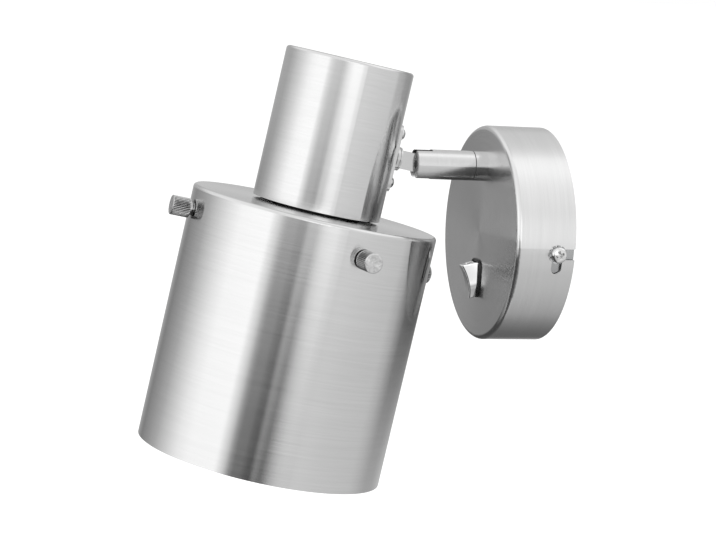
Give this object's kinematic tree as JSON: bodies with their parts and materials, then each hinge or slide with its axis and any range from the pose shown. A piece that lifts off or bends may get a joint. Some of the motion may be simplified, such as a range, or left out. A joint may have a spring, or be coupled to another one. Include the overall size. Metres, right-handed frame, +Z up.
{
  "type": "tube wall light",
  "caption": "Wall light with a closed metal tube head, a slip-on cylinder shade held by thumbscrews, a short swivelling and tilting arm, and a round canopy with a rocker switch.",
  "frame": {"origin": "centre of the canopy's rim, in the plane of the wall", "axes": "+Z up, +Y into the wall, so the light reaches out along -Y; +X to the right as seen from the room"},
  "size_m": [0.1337, 0.1867, 0.2022],
  "materials": {
    "bracket_steel": "zinc-plated sheet",
    "canopy_steel": "satin",
    "tube_steel": "brushed round the tube",
    "shade_steel": "brushed round the shade",
    "carrier_steel": "satin",
    "turned_steel": "fine turned",
    "polished_steel": "bright",
    "screw_steel": "bright",
    "washer_fibre": "matt",
    "black_plastic": "satin",
    "holder_plastic": "satin",
    "insulator": "glazed",
    "contact_brass": "satin",
    "rocker_chrome": "mirror",
    "block_plastic": "satin",
    "wire_insulation": "satin"
  },
  "bodies": {
    "base": {"wall_bracket": "bracket_steel", "canopy": "canopy_steel", "canopy_screws": "screw_steel", "canopy_washers": "screw_steel", "arm_base": "turned_steel", "arm_lock_washer": "bracket_steel", "arm_nut": "bracket_steel", "switch_housing": "black_plastic", "switch_terminals": "contact_brass", "terminal_block": "block_plastic", "terminal_screws": "contact_brass", "earth_screw": "contact_brass", "canopy_wires": "wire_insulation"},
    "arm": {"fork_sleeve": "turned_steel", "swivel_grub": "bracket_steel", "swivel_washer": "washer_fibre", "pivot_screw": "screw_steel", "pivot_washers": "washer_fibre"},
    "head": {"tongue": "polished_steel", "tongue_nut": "bracket_steel", "saddle_plate": "polished_steel", "saddle_screws": "screw_steel", "holder_tube": "tube_steel", "holder_bracket": "bracket_steel", "holder_nipple": "bracket_steel", "holder_nut": "bracket_steel", "lampholder_cap": "holder_plastic", "lampholder_body": "holder_plastic", "lampholder_core": "insulator", "lampholder_shell": "contact_brass", "lampholder_contact": "contact_brass", "shade_ring_upper": "holder_plastic", "shade_ring_lower": "holder_plastic", "shade_carrier": "carrier_steel", "shade": "shade_steel", "head_wires": "wire_insulation"},
    "thumb_1": {"thumbscrew_1": "screw_steel"},
    "thumb_2": {"thumbscrew_2": "screw_steel"},
    "thumb_3": {"thumbscrew_3": "screw_steel"},
    "thumb_4": {"thumbscrew_4": "screw_steel"},
    "rocker": {"rocker": "rocker_chrome"}
  },
  "joints": [
    {"name": "arm_swivel", "type": "hinge", "parent": "base", "child": "arm", "pos_m": [0, -0.035, 0.0316], "axis": [0, -1, 0], "range_deg": [-165, 165]},
    {"name": "head_tilt", "type": "hinge", "parent": "arm", "child": "head", "pos_m": [0, -0.0597, 0.0316], "axis": [-1, 0, 0], "range_deg": [-15, 50]},
    {"name": "switch_rock", "type": "hinge", "parent": "base", "child": "rocker", "pos_m": [0, -0.0273, -0.02175], "axis": [-1, 0, 0], "range_deg": [0, 32]},
    {"name": "thumbscrew_1_turn", "type": "hinge", "parent": "head", "child": "thumb_1", "pos_m": [-0.01196, -0.0576, -0.02125], "axis": [-0.2079, 0.9633, -0.1699], "continuous": true},
    {"name": "thumbscrew_2_turn", "type": "hinge", "parent": "head", "child": "thumb_2", "pos_m": [0.05663, -0.10181, -0.00554], "axis": [0.9848, 0.171, -0.0302], "continuous": true},
    {"name": "thumbscrew_3_turn", "type": "hinge", "parent": "head", "child": "thumb_3", "pos_m": [0, -0.16798, 0.00777], "axis": [0, -0.9848, 0.1736], "continuous": true},
    {"name": "thumbscrew_4_turn", "type": "hinge", "parent": "head", "child": "thumb_4", "pos_m": [-0.0575, -0.11189, -0.00526], "axis": [-1, 0, 0], "continuous": true}
  ]
}
